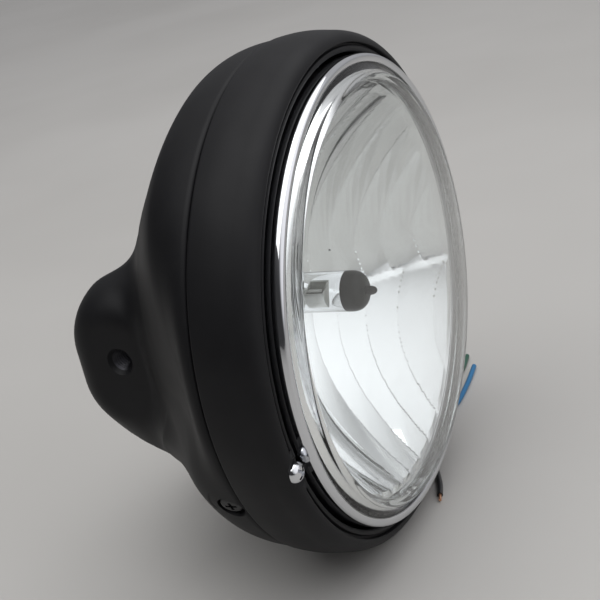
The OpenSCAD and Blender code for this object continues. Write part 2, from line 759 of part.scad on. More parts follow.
module bulb_connector() {
    color([0.9, 0.89, 0.84])
    on_lens_axis() difference() {
        translate([0, 0, connector_back_z]) linear_extrude(height = connector_len)
            polygon([[-10.5, -9], [10.5, -9], [12.5, -7], [12.5, 8.5], [10, 11], [-10, 11],
                     [-12.5, 8.5], [-12.5, -7]]);
        blades(0.2, 3);
        for (p = inner_ports) translate([p[0], p[1], connector_back_z - 1])
            cylinder(h = 5, d = lead_d, $fn = 24);
    }
}

// Where the three leads leave the connector, and where they pass the grommet
inner_ports = [[0, 7], [8, -2.5], [-8, -2.5]];
port_ring = 1.65;
grommet_ports = [for (a = [90, -30, 210]) [port_ring * cos(a), port_ring * sin(a)]];

// Grommet with a groove for the pad, and one hole for each lead
grommet_out = 2.4;
grommet_in = 1.8;

module cable_grommet() {
    mid = pad_z;
    color([0.07, 0.07, 0.07])
    on_lens_axis() translate([0, -grommet_drop, 0]) difference() {
        revolve_profile([
            [0, mid + pad_wall + grommet_in], [grommet_in_d / 2 - 1, mid + pad_wall + grommet_in],
            [grommet_in_d / 2, mid + pad_wall], [grommet_neck_d / 2, mid + pad_wall],
            [grommet_neck_d / 2, mid], [grommet_flange_d / 2, mid],
            [grommet_flange_d / 2 - 0.6, mid - 1.4],
            [5.6, mid - grommet_out], [0, mid - grommet_out]]);
        for (p = grommet_ports) translate([p[0], p[1], mid - 10])
            cylinder(h = 24, d = lead_d, $fn = 24);
    }
}

// Points of a smooth curve through hand placed points, with one more between each pair
function along(p, i, t) =
    let (a = p[max(i - 1, 0)], b = p[i], c = p[i + 1], d = p[min(i + 2, len(p) - 1)])
        0.5 * (2 * b + (c - a) * t + (2 * a - 5 * b + 4 * c - d) * t * t
               + (3 * b - a - 3 * c + d) * t * t * t);
function smooth(p, parts) = concat(
    [for (i = [0 : len(p) - 2]) for (k = [0 : parts - 1]) along(p, i, k / parts)],
    [p[len(p) - 1]]);

function unit(v) = v / norm(v);
function heading(p, i) = unit(p[min(i + 1, len(p) - 1)] - p[max(i - 1, 0)]);
// Side directions that turn with the path as little as they can
function sides(p, i = 0, side = undef) =
    let (t = heading(p, i),
         first = abs(t[2]) < 0.9 ? [0, 0, 1] : [1, 0, 0],
         from = is_undef(side) ? first : side,
         s = unit(from - (from * t) * t))
        i == len(p) - 1 ? [s] : concat([s], sides(p, i + 1, s));

// A round tube swept along a path of points
module tube(path, r, n) {
    side = sides(path);
    count = len(path);
    ring_points = [for (i = [0 : count - 1])
        let (t = heading(path, i), u = side[i], v = cross(t, u))
            for (k = [0 : n - 1])
                path[i] + r * (cos(360 * k / n) * u + sin(360 * k / n) * v)];
    walls = [for (i = [0 : count - 2]) for (k = [0 : n - 1])
        let (a = i * n + k, b = i * n + (k + 1) % n) [a, a + n, b + n, b]];
    caps = [[for (k = [0 : n - 1]) k], [for (k = [n - 1 : -1 : 0]) (count - 1) * n + k]];
    polyhedron(points = ring_points, faces = concat(walls, caps), convexity = 8);
}

// Split of each lead inside the grommet, as a place on the object
split_y = -mount_back - pad_z - pad_wall / 2;
function port_at(k, y) = [grommet_ports[k][0], y, grommet_ports[k][1] - grommet_drop];
function inner_at(k, y) = [inner_ports[k][0], y, inner_ports[k][1]];
floor_z = -lamp_r + lead_d / 2;

// Routes inside the shell, from the connector back and down to the grommet
connector_y = -mount_back - connector_back_z;
inner_routes = [
    [inner_at(0, connector_y - 3), inner_at(0, connector_y), [0, 9.4, 4.6], [0, 11.4, -2],
     [0, 10.8, -10], [0, 7, -18.5], [0, 3, -26.5], [0, 2.2, -32], port_at(0, 5.2),
     port_at(0, split_y)],
    [inner_at(1, connector_y - 3), inner_at(1, connector_y), [8, 8.4, -4.6], [7.4, 9.8, -10.5],
     [6, 7.5, -18], [4, 2, -25.5], [2.4, -1.8, -32], [1.6, 0.4, -36.4], port_at(1, 4.8),
     port_at(1, split_y)],
    [inner_at(2, connector_y - 3), inner_at(2, connector_y), [-8, 8.4, -4.6], [-7.4, 9.8, -10.5],
     [-6, 7.5, -18], [-4, 2, -25.5], [-2.4, -1.8, -32], [-1.6, 0.4, -36.4], port_at(2, 4.8),
     port_at(2, split_y)]];

// Routes outside, from the grommet to the free end of each lead
exit_y = split_y + 4.5;
black_route = [port_at(2, split_y), port_at(2, exit_y), [-2, 20, -38.6], [-1, 26, -45],
    [2, 28.5, -60], [7, 27, -76], [12, 22, -90], [19, 12, floor_z], [26, -2, floor_z],
    [33, -17, floor_z], [39, -33, floor_z], [43.5, -50, floor_z], [43, -64, floor_z],
    [37, -74, floor_z], [29.9, -78.4, floor_z], [19, -83.6, floor_z], [10.5, -86.4, floor_z]];
blue_route = [port_at(1, split_y), port_at(1, exit_y), [3.6, 20, -38.2], [8, 26.5, -46],
    [13, 29.5, -61], [19, 28, -77], [25, 23, -91], [33, 14, floor_z], [42, 0, floor_z],
    [50, -16, floor_z], [58, -33, floor_z], [66, -49, floor_z], [74, -62, floor_z],
    [86, -69, floor_z], [107, -69, floor_z], [128.2, -66.7, floor_z]];
green_route = [port_at(0, split_y), port_at(0, exit_y), [2.4, 22, -35.6], [8, 31, -43],
    [14.5, 35.5, -58], [21.5, 35, -74], [30, 31, -90], [41, 22, floor_z], [52, 8, floor_z],
    [62, -8, floor_z], [71, -25, floor_z], [81, -41, floor_z], [93, -53, floor_z],
    [108, -60, floor_z], [124, -61.5, floor_z], [139.6, -59.6, floor_z]];
lead_sides = 8;
bare_len = 4;
bare_d = 1.3;

module inner_leads() {
    color([0.2, 0.3, 0.6])
    for (route = inner_routes) tube(smooth(route, 1), lead_d / 2 - 0.02, lead_sides);
}

// A lead lies on the floor and never dips below it
module lead(route) {
    tube([for (p = smooth(route, 2)) [p[0], p[1], max(p[2], floor_z)]], lead_d / 2 - 0.02, lead_sides);
}

module lead_blue() {
    color([0.1, 0.45, 0.65]) lead(blue_route);
}

module lead_green() {
    color([0.1, 0.4, 0.3]) lead(green_route);
}

module lead_black() {
    color([0.08, 0.08, 0.08]) lead(black_route);
}

// The stripped copper at the free end of the black lead
module bare_end() {
    tip = black_route[len(black_route) - 1];
    way = unit(tip - black_route[len(black_route) - 2]);
    color([0.72, 0.45, 0.3])
    tube([tip, tip + way * bare_len / 2, tip + way * bare_len], bare_d / 2, lead_sides);
}

shell();
bezel();
seam_seal();
bezel_screws();
bezel_nuts();
mount_insert_left();
mount_insert_right();
pivot_brackets();
pivot_pins();
adjuster_screw();
adjuster_washer();
adjuster_nut();
chrome_ring();
ring_screws();
seat_ring();
lens();
lens_seal();
reflector();
bulb_glass();
bulb_filaments();
bulb_base();
bulb_terminals();
bulb_clip();
rubber_boot();
bulb_connector();
cable_grommet();
inner_leads();
lead_blue();
lead_green();
lead_black();
bare_end();
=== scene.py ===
# %% [markdown]
# # A round motorcycle headlight
# The lamp is a black bowl that hangs between two fork brackets, with a bezel, a chrome ring, a
# clear glass and a stepped mirror in front. The exact parts come in as a fixed frame. This script
# gives them their finishes, and puts finer surfaces where polished metal and glass show every
# facet. All lengths below are in millimetres, and are turned into metres where a mesh is made.

# %% Load the frame
import bmesh
import bpy
import numpy as np
from mathutils import Matrix, Vector


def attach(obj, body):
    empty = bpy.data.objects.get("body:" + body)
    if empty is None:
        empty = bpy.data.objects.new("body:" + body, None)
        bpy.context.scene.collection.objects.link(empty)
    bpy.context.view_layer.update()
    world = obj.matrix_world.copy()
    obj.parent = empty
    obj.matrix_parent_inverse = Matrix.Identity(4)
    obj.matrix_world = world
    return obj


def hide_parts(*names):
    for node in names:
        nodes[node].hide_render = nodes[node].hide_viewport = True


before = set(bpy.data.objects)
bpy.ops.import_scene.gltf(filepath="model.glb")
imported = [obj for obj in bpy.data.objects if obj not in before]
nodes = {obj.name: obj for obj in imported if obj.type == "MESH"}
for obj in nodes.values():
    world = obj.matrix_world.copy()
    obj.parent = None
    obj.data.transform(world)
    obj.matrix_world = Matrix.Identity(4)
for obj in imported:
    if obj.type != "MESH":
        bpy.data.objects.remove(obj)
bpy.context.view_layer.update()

MM = 0.001
print("parts in the frame:", len(nodes))

# %% [markdown]
# ## The camera
# The lamp was photographed from its right side, a little in front and above, so the round glass
# shows as a narrow ellipse. A camera is a place and three directions, and those directions are
# the columns of its matrix. A long lens keeps the perspective calm.

# %% Place the camera
camera_data = bpy.data.cameras.new("camera")
camera_data.sensor_width = 36
camera_data.lens = 72
camera_place = (-0.3903, -0.2627, 0.1677)
camera = bpy.data.objects.new("camera", camera_data)
bpy.context.scene.collection.objects.link(camera)
bpy.context.scene.camera = camera
right, up, back = (0.4001, -0.8924, -0.2087), (0.4136, -0.0275, 0.9100), (-0.8178, -0.4505, 0.3582)
turn = Matrix((right, up, back)).transposed().to_4x4()
camera.matrix_world = Matrix.Translation(camera_place) @ turn
print("camera stands", round(camera.location.length, 3), "m from the mount axis")

# %% [markdown]
# ## Surfaces from grids
# Every new piece here is a sheet of points with two parameters, such as a place along a profile
# and an angle round an axis. Joining neighbours in the sheet gives the faces, so no vertex is
# handled by itself. The signed volume tells if the faces point outwards.

# %% Turn a sheet of points into a closed mesh
def grid_mesh(name, points, loop_rows=False, sharp=35):
    """points[i, j] is a place in mm; j always closes on itself, and i does if loop_rows is set."""
    rows, cols = points.shape[:2]
    index = np.arange(rows * cols).reshape(rows, cols)
    after = np.roll(index, -1, axis=1)
    low = slice(None) if loop_rows else slice(0, rows - 1)
    high_index = np.roll(index, -1, axis=0)[low]
    high_after = np.roll(after, -1, axis=0)[low]
    faces = np.stack([index[low], after[low], high_after, high_index], -1).reshape(-1, 4)
    flat = points.reshape(-1, 3) * MM
    a, b, c, d = (flat[faces[:, k]] for k in range(4))
    volume = (np.cross(a, b) * c).sum() + (np.cross(a, c) * d).sum()
    if volume < 0:
        faces = faces[:, ::-1]
    mesh = bpy.data.meshes.new(name)
    mesh.from_pydata(flat, [], faces)
    merge_doubles(mesh)
    shade(mesh, sharp)
    piece = bpy.data.objects.new(name, mesh)
    bpy.context.scene.collection.objects.link(piece)
    return piece

def shade(mesh, sharp=35):
    """Shades the faces as one surface, apart from edges that bend more than so many degrees."""
    mesh.polygons.foreach_set("use_smooth", np.ones(len(mesh.polygons), bool))
    mesh.set_sharp_from_angle(angle=np.radians(sharp))

def merge_doubles(mesh):
    """Joins points that lie on each other, which closes the poles."""
    work = bmesh.new()
    work.from_mesh(mesh)
    bmesh.ops.remove_doubles(work, verts=work.verts, dist=1e-7)
    bmesh.ops.dissolve_degenerate(work, edges=work.edges, dist=1e-8)
    work.to_mesh(mesh)
    work.free()

# %% [markdown]
# ## Profiles on the lens axis
# Most of the lamp is turned about the axis of the lens. A profile is a list of pairs: a radius,
# and a height in front of the chrome ring's plane. Curved stretches are cubic curves, each
# with a start, two handles and an end.

# %% Curves and turned bodies
MOUNT_BACK = 86.2

def bezier(a, b, c, d, count):
    """The cubic curve (1-t)^3 a + 3t(1-t)^2 b + 3t^2(1-t) c + t^3 d, from a up to just before d."""
    t = np.linspace(0, 1, count, endpoint=False)[:, None]
    a, b, c, d = (np.array(p, float) for p in (a, b, c, d))
    return (1 - t) ** 3 * a + 3 * t * (1 - t) ** 2 * b + 3 * t * t * (1 - t) * c + t ** 3 * d

def from_lens(x, y, z):
    """A place given across, up and forwards on the lens axis, in the lamp's own frame."""
    return np.stack([x, -MOUNT_BACK - z, y], -1)

def turned(name, profile, steps, loop=True):
    """Each profile point (r, z) goes round the lens axis to (r cos a, r sin a, z)."""
    profile = np.array(profile, float)
    angle = np.linspace(0, 2 * np.pi, steps, endpoint=False)
    r, z = profile[:, :1], profile[:, 1:2]
    points = from_lens(r * np.cos(angle), r * np.sin(angle), z + 0 * angle)
    return grid_mesh(name, points, loop_rows=loop)

# %% [markdown]
# ## The free leads
# Three limp leads leave a grommet at the back, drop to the table and run forwards under the
# bowl. Their ends fan out at the lamp's left side. Each is a circle carried along a smooth curve.

# %% Carry a circle along a path
# Steps of the curve between two of its points, and corners of the circle.
PARTS, TUBE_SIDES = 6, 20

def through(points):
    """A cubic curve that passes through every point, with matching tangents."""
    p = np.array(points, float)
    p = np.vstack([p[:1], p, p[-1:]])
    a, b, c, d = p[:-3, None], p[1:-2, None], p[2:-1, None], p[3:, None]
    t = np.linspace(0, 1, PARTS, endpoint=False)[None, :, None]
    curve = 0.5 * (2 * b + (c - a) * t + (2 * a - 5 * b + 4 * c - d) * t ** 2
                   + (3 * b - a - 3 * c + d) * t ** 3)
    return np.vstack([curve.reshape(-1, 3), p[-1:]])

def tube(name, path, radius):
    """A circle of one radius, square to the path at each of its points, with flat ends."""
    along = np.gradient(path, axis=0)
    along /= np.linalg.norm(along, axis=1, keepdims=True)
    side = np.array([1.0, 1.0, 0.0]) / np.sqrt(2)
    u = side - (along @ side)[:, None] * along
    u /= np.linalg.norm(u, axis=1, keepdims=True)
    v = np.cross(along, u)
    angle = np.linspace(0, 2 * np.pi, TUBE_SIDES, endpoint=False)[None, :, None]
    ring = path[:, None] + radius * (np.cos(angle) * u[:, None] + np.sin(angle) * v[:, None])
    ends = [np.repeat(path[k][None, None], TUBE_SIDES, axis=1) for k in (0, -1)]
    return grid_mesh(name, np.concatenate([ends[0], ring, ends[1]]))

# %% Lay the three leads
TABLE_Z = -100.0
LEAD_D = 2.4
FLOOR = TABLE_Z + LEAD_D / 2
GROMMET_Z = -36.0
START_Y, EXIT_Y = 8.3, 12.8
PORT_R = 1.65
port_angle = np.radians([90, -30, 210])
ports = PORT_R * np.stack([np.cos(port_angle), np.sin(port_angle)], -1)

def start(k):
    """The first two points of a lead, inside the grommet and just behind it."""
    x, z = ports[k, 0], ports[k, 1] + GROMMET_Z
    return [(x, START_Y, z), (x, EXIT_Y, z)]

routes = {
    "lead_green": start(0) + [
        (2.4, 22, -35.6), (8, 31, -43), (14.5, 35.5, -58), (21.5, 35, -74), (30, 31, -90),
        (41, 22, FLOOR), (52, 8, FLOOR), (62, -8, FLOOR), (71, -25, FLOOR), (81, -41, FLOOR),
        (93, -53, FLOOR), (108, -60, FLOOR), (124, -61.5, FLOOR), (139.6, -59.6, FLOOR)],
    "lead_blue": start(1) + [
        (3.6, 20, -38.2), (8, 26.5, -46), (13, 29.5, -61), (19, 28, -77), (25, 23, -91),
        (33, 14, FLOOR), (42, 0, FLOOR), (50, -16, FLOOR), (58, -33, FLOOR), (66, -49, FLOOR),
        (74, -62, FLOOR), (86, -69, FLOOR), (107, -69, FLOOR), (128.2, -66.7, FLOOR)],
    "lead_black": start(2) + [
        (-2, 20, -38.6), (-1, 26, -45), (2, 28.5, -60), (7, 27, -76), (12, 22, -90),
        (19, 12, FLOOR), (26, -2, FLOOR), (33, -17, FLOOR), (39, -33, FLOOR),
        (43.5, -50, FLOOR), (43, -64, FLOOR), (37, -74, FLOOR), (29.9, -78.4, FLOOR),
        (19, -83.6, FLOOR), (10.5, -86.4, FLOOR)],
}
leads = {}
for name, points in routes.items():
    path = through(points)
    path[:, 2] = np.maximum(path[:, 2], FLOOR)
    lead = tube(name + "_cover", path, LEAD_D / 2)
    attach(lead, "housing")
    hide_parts(name)
    leads[name] = lead

# %% [markdown]
# ## The shell as one blended surface
# The real bowl is moulded with its two side pods, and the corner between them is one wide
# hollow curve. Joining two bodies would leave a hard crease, so the shell is found along rays
# from a point inside it: where a blend of two distance formulas is zero, there is the skin.

# %% Outlines of the bowl, of its leaner sides and of a pod
MOUNT_X = 60.0
POD_R, POD_SIDE, WAIST_R = 27.0, 42, 13.0
SEAM_R, SEAM_Z, BACK_Z = 97.3, -29.2, -102
edge_end, shoulder, shoulder_end = (98.5, SEAM_Z - 1.8), (93.6, -48.5), (73, -66.5)
seam_corner = [[0, SEAM_Z], [SEAM_R, SEAM_Z], [97.7, SEAM_Z - 0.1], [98.15, SEAM_Z - 0.55],
               [98.4, SEAM_Z - 1.1]]
bowl_outline = np.vstack([
    seam_corner,
    bezier(edge_end, (98.2, -36), (97.4, -43), shoulder, 14),
    bezier(shoulder, (89, -54.5), (80, -60.5), shoulder_end, 14),
    bezier(shoulder_end, (60, -73), (38, BACK_Z), (0, BACK_Z), 26), [[0, BACK_Z]]])
lean_outline = np.vstack([
    seam_corner,
    bezier(edge_end, (98.1, -35), (94.6, -35.7), (91, -39.7), 14),
    bezier((70, -63.1), (60, -74.3), (38, BACK_Z), (0, BACK_Z), 26), [[0, BACK_Z]]])
pod_outline = np.vstack([
    [[MOUNT_X, 0]],
    bezier((MOUNT_X, 12), (MOUNT_X, POD_R - 8), (MOUNT_X - 6, POD_R - 2), (POD_SIDE, POD_R), 18),
    bezier((POD_SIDE, POD_R), (32, POD_R + 0.4), (12, WAIST_R), (0, WAIST_R), 12),
    [[0, WAIST_R], [0, 0]]])

def outline_distance(outline, u, v):
    """Distance from (u, v) to the nearest edge of a closed outline, negative inside it."""
    a, b = outline, np.roll(outline, -1, axis=0)
    keep = np.linalg.norm(b - a, axis=1) > 1e-6
    a, b = a[keep], b[keep]
    near = np.full(u.shape, 1e9)
    inside = np.zeros(u.shape, bool)
    for (ax, ay), (bx, by) in zip(a, b):
        ex, ey = bx - ax, by - ay
        t = np.clip(((u - ax) * ex + (v - ay) * ey) / (ex * ex + ey * ey), 0, 1)
        near = np.minimum(near, np.hypot(u - ax - t * ex, v - ay - t * ey))
        crosses = (ay > v) != (by > v)
        inside ^= crosses & (u < ax + (v - ay) * ex / (ey if ey else 1e-9))
    return np.where(inside, -near, near)

# %% Blend the bowl and the pods
POD_RISE, POD_DROP, POD_BACK = 6.5, 4.2, 0.8
# The blend's width above and below the mount axis, where it begins to grow, and over how far.
HIGH_BLEND, LOW_BLEND, LOW_START, LOW_SPAN = 10.0, 34.0, 4, 24
# The angles over which the leaner side ends, above and below, and how far down its middle lies.
LEAN_ABOVE, LEAN_BELOW, LEAN_DROP = 46, 25, 2
# The blend fades near the hole in a pod's face and at the seam, to this share of its width.
FACE_CLEAR, FACE_FADE, FACE_STRETCH, SEAM_FADE, LEAST = 8, 20, 1.2, 14, 0.02

def ease(t):
    """3t^2 - 2t^3, which goes from 0 to 1 with no slope at either end."""
    return t * t * (3 - 2 * t)

def shell_distance(x, y, z):
    """The smaller of the two distances, pulled down by k/4 (1 - |difference|/k)^2 near a tie.

    At its sides the bowl turns from its full outline to a leaner one, which runs straight back
    towards the pods. The width k grows below the mount axis, and fades out near the flat face
    of a pod and at the seam.
    """
    r = np.hypot(x, y)
    rise = np.degrees(np.arctan2(y + LEAN_DROP, np.maximum(np.abs(x), 1e-6)))
    side = ease(1 - np.clip(np.where(rise > 0, rise / LEAN_ABOVE, -rise / LEAN_BELOW), 0, 1))
    bowl = outline_distance(bowl_outline, r, z)
    bowl += side * (outline_distance(lean_outline, r, z) - bowl)
    behind_axis, above_axis = -MOUNT_BACK - z - POD_BACK, y + POD_DROP
    off = np.hypot(behind_axis, np.maximum(np.abs(above_axis) - POD_RISE, 0))
    pod = outline_distance(pod_outline, np.abs(x), off)
    low = ease(np.clip((-y - LOW_START) / LOW_SPAN, 0, 1))
    k = HIGH_BLEND + (LOW_BLEND - HIGH_BLEND) * low
    apart = np.sqrt(off ** 2 + (FACE_STRETCH * (MOUNT_X - np.abs(x))) ** 2)
    k *= np.clip((apart - FACE_CLEAR) / FACE_FADE, LEAST, 1)
    k *= np.clip((SEAM_Z - z) / SEAM_FADE, LEAST, 1)
    share = np.maximum(k - np.abs(bowl - pod), 0) / k
    return np.minimum(bowl, pod) - share ** 2 * k / 4

# %% Find the skin along rays from the core
CORE = np.array([0.0, 0.0, -45.0])
NEAREST, FARTHEST, HALVINGS = 20.0, 130.0, 20
# Above 1, this crowds the rows towards the seam, where the edge is tightly rounded.
CROWDING = 1.4
rows, cols = 190, 320
polar_end = np.pi - np.arctan2(SEAM_R, SEAM_Z - CORE[2])
polar = polar_end * (1 - (1 - np.linspace(0, 1, rows)[:, None]) ** CROWDING)
around = np.linspace(0, 2 * np.pi, cols, endpoint=False)[None, :]
ray = np.stack([np.sin(polar) * np.cos(around), np.sin(polar) * np.sin(around),
                -np.cos(polar) + 0 * around], -1)

def find_skin():
    """Halves an interval on each ray until the distance formula crosses zero."""
    low, high = np.full((rows, cols), NEAREST), np.full((rows, cols), FARTHEST)
    for _ in range(HALVINGS):
        middle = (low + high) / 2
        place = CORE + ray * middle[..., None]
        outside = shell_distance(place[..., 0], place[..., 1], place[..., 2]) > 0
        high, low = np.where(outside, middle, high), np.where(outside, low, middle)
    return CORE + ray * low[..., None]

outer = find_skin()
WALL = 2.4
slope_u, slope_v = np.gradient(outer, axis=0), np.gradient(outer, axis=1)
slope_v[:, 0] = (outer[:, 1] - outer[:, -1]) / 2
slope_v[:, -1] = (outer[:, 0] - outer[:, -2]) / 2
normal = np.cross(slope_u, slope_v)
normal /= np.maximum(np.linalg.norm(normal, axis=-1, keepdims=True), 1e-9)
normal *= np.sign((normal * ray).sum(-1, keepdims=True))
normal[0] = (0, 0, -1)
inner = outer - normal * WALL

def hoop(r, z):
    """A circle of points round the lens axis."""
    return np.stack([r * np.cos(around[0]), r * np.sin(around[0]), np.full(cols, z)], -1)

outer[-1] = hoop(SEAM_R, SEAM_Z)
SPIGOT_R, SPIGOT_IN, SPIGOT_Z = 97.2, 95.6, SEAM_Z + 5
spigot = [(SPIGOT_R, SEAM_Z), (SPIGOT_R, SPIGOT_Z), (SPIGOT_IN, SPIGOT_Z), (SPIGOT_IN, SEAM_Z)]
collar = np.array([hoop(r, z) for r, z in spigot])
section = np.concatenate([outer, collar, inner[-2::-1]])
shell = grid_mesh("shell_skin", from_lens(section[..., 0], section[..., 1], section[..., 2]))
print("shell skin:", len(shell.data.polygons), "faces")

# %% [markdown]
# ## Holes and seats in the shell
# The two mount threads, the recesses of the bezel screws and the seat of the grommet are cut
# with turned cutters. Bosses are added first, so that each hole has metal round it.

# %% Tools that add and cut
FIX_ANGLE, FIX_Z = 116.0, -35.4
TOOL_STEPS = 64
BOTH_SIDES = (-1, 1)

def tool_at(points, matrix):
    """A closed body from a sheet of points, moved by a matrix whose place is in mm."""
    tool = grid_mesh("tool", points)
    place = matrix.copy()
    place.translation = Vector(place.translation) * MM
    tool.data.transform(place)
    return tool

def turned_tool(profile, matrix):
    """A turned body about its own Z. Each row of the profile is (r, z)."""
    profile = np.array(profile, float)
    angle = np.linspace(0, 2 * np.pi, TOOL_STEPS, endpoint=False)
    r, z = profile[:, :1], profile[:, 1:2]
    return tool_at(np.stack([r * np.cos(angle), r * np.sin(angle), z + 0 * angle], -1), matrix)

def axis_at(place, direction):
    """A matrix whose Z axis starts at a place and points along a direction."""
    direction = Vector(direction).normalized()
    matrix = direction.to_track_quat("Z", "Y").to_matrix().to_4x4()
    matrix.translation = Vector(place)
    return matrix

def radial_axis(side):
    """The line of a bezel fixing screw, from the lens axis outwards."""
    a = np.radians(FIX_ANGLE) * side
    return axis_at((0, -MOUNT_BACK - FIX_Z, 0), (-np.sin(a), 0, np.cos(a)))

def joined(tools):
    """Several closed bodies in one mesh."""
    work = bmesh.new()
    for tool in tools:
        work.from_mesh(tool.data)
        bpy.data.objects.remove(tool)
    mesh = bpy.data.meshes.new("tools")
    work.to_mesh(mesh)
    work.free()
    both = bpy.data.objects.new("tools", mesh)
    bpy.context.scene.collection.objects.link(both)
    return both

def boolean(piece, tools, operation):
    """Applies one boolean with all the tools, and removes them."""
    other = joined(tools)
    modifier = piece.modifiers.new("boolean", "BOOLEAN")
    modifier.object, modifier.operation, modifier.solver = other, operation, "MANIFOLD"
    result = bpy.data.meshes.new_from_object(
        piece.evaluated_get(bpy.context.evaluated_depsgraph_get()))
    piece.modifiers.clear()
    old, piece.data = piece.data, result
    bpy.data.meshes.remove(old)
    bpy.data.objects.remove(other)

# %% Add the bosses, then cut the holes
# Each profile is (radius, distance along the axis of the hole).
SCREW_HOLE_R, SCREW_SEAT, RECESS_R = 2.2, 95.2, 5.2
INSERT_R, INSERT_IN, INSERT_OUT = 6.5, 44.0, 58.4
fix_boss = [(0, 91.4), (9, 91.4), (9, 96.2), (0, 96.2)]
fix_hole = [(0, 88), (SCREW_HOLE_R, 88), (SCREW_HOLE_R, SCREW_SEAT), (RECESS_R, SCREW_SEAT),
            (RECESS_R, 97.4), (5.5, 98.2), (6.4, 99.5), (6.4, 103), (0, 103)]
mount_boss = [(0, 41), (10, 41), (10, 59.8), (0, 59.8)]
mount_hole = [(0, INSERT_IN), (INSERT_R, INSERT_IN), (INSERT_R, INSERT_OUT), (4.3, INSERT_OUT),
              (5.2, 59.6), (5.7, 60.2), (5.9, 65), (0, 65)]
grommet_boss = [(0, 84), (10.5, 84), (11, 84.5), (11, 95.5), (10.5, 96), (0, 96)]
grommet_hole = [(0, 78), (8.3, 78), (8.3, 93), (6, 93), (6, 96), (9.3, 96), (9.3, 107), (0, 107)]
fix_axes = [radial_axis(side) for side in BOTH_SIDES]
mount_axes = [axis_at((0, 0, 0), (side, 0, 0)) for side in BOTH_SIDES]
back_axis = axis_at((0, -MOUNT_BACK, GROMMET_Z), (0, 1, 0))
bosses = [turned_tool(fix_boss, axis) for axis in fix_axes]
bosses += [turned_tool(mount_boss, axis) for axis in mount_axes]
bosses += [turned_tool(grommet_boss, back_axis)]
cutters = [turned_tool(fix_hole, axis) for axis in fix_axes]
cutters += [turned_tool(mount_hole, axis) for axis in mount_axes]
cutters += [turned_tool(grommet_hole, back_axis)]
boolean(shell, bosses, "UNION")
boolean(shell, cutters, "DIFFERENCE")
shade(shell.data)
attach(shell, "housing")
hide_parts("shell")
print("shell with its holes:", len(shell.data.polygons), "faces")

# %% [markdown]
# ## The bezel
# The black front rim is pressed from sheet. From the inside outwards it has a rolled lip, a narrow
# groove, a crisp edge, a rounded corner and a slightly swelling side. A dimple holds the adjuster.

# %% Turn the bezel, then add its boss, lugs and hook
RING_R = 89.5
LIP_R, LIP_Z, LIP_WALL = RING_R + 1, -6.0, 1.6
EDGE_R, EDGE_Z = LIP_R + 3.8, LIP_Z + 2.1
BEZEL_BACK, FACE_END = -28.2, -27.6
HEAD_SEAT = -5.2
bezel_side = (99.25, -12)
ADJUST_ANGLE, ADJUST_R = np.radians(105.8), RING_R + 4.5
bezel_lip = np.vstack([
    bezier((LIP_R, LIP_Z + 0.6), (LIP_R + 0.1, LIP_Z + 1.5), (LIP_R + 1.7, LIP_Z + 2.1),
           (LIP_R + 2.2, LIP_Z + 1.2), 12),
    [(LIP_R + 2.4, LIP_Z + 0.1), (LIP_R + 2.55, LIP_Z), (LIP_R + 3.1, LIP_Z),
     (LIP_R + 3.22, LIP_Z + 0.1), (EDGE_R - 0.42, EDGE_Z - 0.4), (EDGE_R - 0.25, EDGE_Z - 0.12)]])
bezel_face = np.vstack([
    bezier((EDGE_R, EDGE_Z), (96.8, EDGE_Z - 0.2), (98.7, -6.2), bezel_side, 28),
    bezier(bezel_side, (99.9, -17), (100.55, -20), (99.3, BEZEL_BACK), 28)])
bezel_face = bezel_face[bezel_face[:, 1] > FACE_END]
seam_edge = [(99.37, -27.75), (99.2, -28.05), (98.9, BEZEL_BACK)]
slope = np.gradient(bezel_face, axis=0)
slope /= np.linalg.norm(slope, axis=1, keepdims=True)
under = bezel_face + LIP_WALL * slope[:, ::-1] * (1, -1)
under = under[under[:, 0] > EDGE_R + 0.8]
bezel_profile = np.vstack([
    bezel_lip, bezel_face, seam_edge, [(under[-1, 0], BEZEL_BACK)], under[::-1],
    [(EDGE_R, LIP_Z - LIP_WALL), (LIP_R, LIP_Z - LIP_WALL)]])
bezel = turned("bezel_skin", bezel_profile, 360)

def extruded(outline, width, matrix):
    """A flat outline (u, v) drawn out along the third direction, centred, then moved."""
    u, v = np.array(outline, float).T
    w = np.array([-width / 2, width / 2])[:, None]
    layer = np.stack([u + 0 * w, v + 0 * w, w + 0 * u], -1)
    cap = layer.mean(1, keepdims=True).repeat(len(u), axis=1)
    return tool_at(np.concatenate([cap[:1], layer, cap[1:]]), matrix)

def section_at(clock):
    """Carries (radius, height, sideways) to the section at an angle from the top."""
    a = np.radians(clock)
    out, ahead = Vector((-np.sin(a), 0, np.cos(a))), Vector((0, -1, 0))
    matrix = Matrix((out, ahead, out.cross(ahead))).transposed().to_4x4()
    matrix.translation = Vector((0, -MOUNT_BACK, 0))
    return matrix

lug = [(98.6, -17), (98.6, -20.5), (93.9, -22.5), (91.38, -25), (91.38, -41.9), (88.98, -41.9),
       (88.98, -24), (92.5, -19), (96, -17)]
hook = [(98.6, -20), (98.6, -23), (94.8, -24.4), (94.8, -35), (93.1, -35), (93.1, -23), (96.4, -20)]
adjuster_place = (-ADJUST_R * np.sin(ADJUST_ANGLE), -MOUNT_BACK, ADJUST_R * np.cos(ADJUST_ANGLE))
adjuster_axis = axis_at(adjuster_place, (0, -1, 0))
boss = turned_tool([(0, -8.2), (6.2, -8.2), (10.2, -2), (0, -2)], adjuster_axis)
limit = turned("limit", np.vstack([[(LIP_R, -18), (LIP_R, EDGE_Z - 0.9)], bezel_face,
                                   [(96, FACE_END), (96, -18)]]), 360)
boolean(boss, [limit], "INTERSECT")
boolean(bezel, [boss], "UNION")
LUG_WIDTH, HOOK_WIDTH = 16, 18
holders = [extruded(lug, LUG_WIDTH, section_at(clock)) for clock in (-FIX_ANGLE, FIX_ANGLE)]
holders += [extruded(hook, HOOK_WIDTH, section_at(0))]
boolean(bezel, holders, "UNION")
